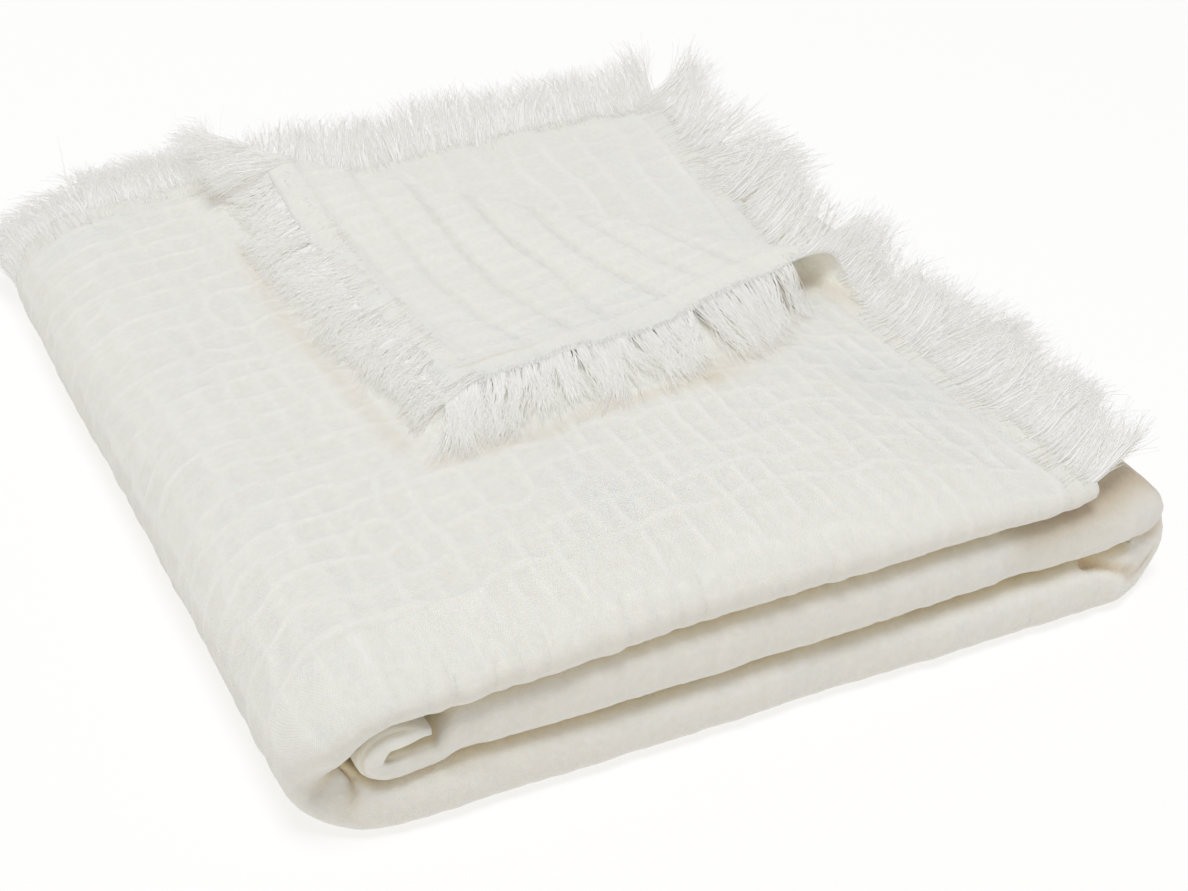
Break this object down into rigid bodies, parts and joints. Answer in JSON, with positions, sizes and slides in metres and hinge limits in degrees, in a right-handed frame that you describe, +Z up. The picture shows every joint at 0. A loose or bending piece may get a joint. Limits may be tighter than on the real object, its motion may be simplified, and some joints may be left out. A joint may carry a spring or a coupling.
{
  "type": "muslin blanket",
  "caption": "Off-white puckered muslin blanket with a yarn fringe, folded into a flat layered stack with one top corner turned back to show its underside.",
  "frame": {"origin": "on the surface the blanket rests on, under the middle of its box, fringe included", "axes": "+X along the front fold towards the right bend, +Y from the front fold to the back, +Z up"},
  "size_m": [0.3638, 0.3966, 0.0756],
  "materials": {
    "muslin": "matte puckered cotton weave",
    "fringe_yarn": "matte loose cotton yarn"
  },
  "bodies": {
    "root": {"cloth": "muslin", "fringe_bottom_inner": "fringe_yarn", "fringe_bottom_outer": "fringe_yarn", "fringe_end_lower": "fringe_yarn", "fringe_end_upper": "fringe_yarn", "fringe_flap_front": "fringe_yarn", "fringe_flap_side": "fringe_yarn", "fringe_left_inner": "fringe_yarn", "fringe_left_outer": "fringe_yarn", "fringe_middle_inner": "fringe_yarn", "fringe_middle_outer": "fringe_yarn", "fringe_right_outer": "fringe_yarn", "fringe_roll_back": "fringe_yarn", "fringe_roll_right": "fringe_yarn", "fringe_top_inner": "fringe_yarn", "fringe_top_outer": "fringe_yarn"}
  },
  "joints": []
}
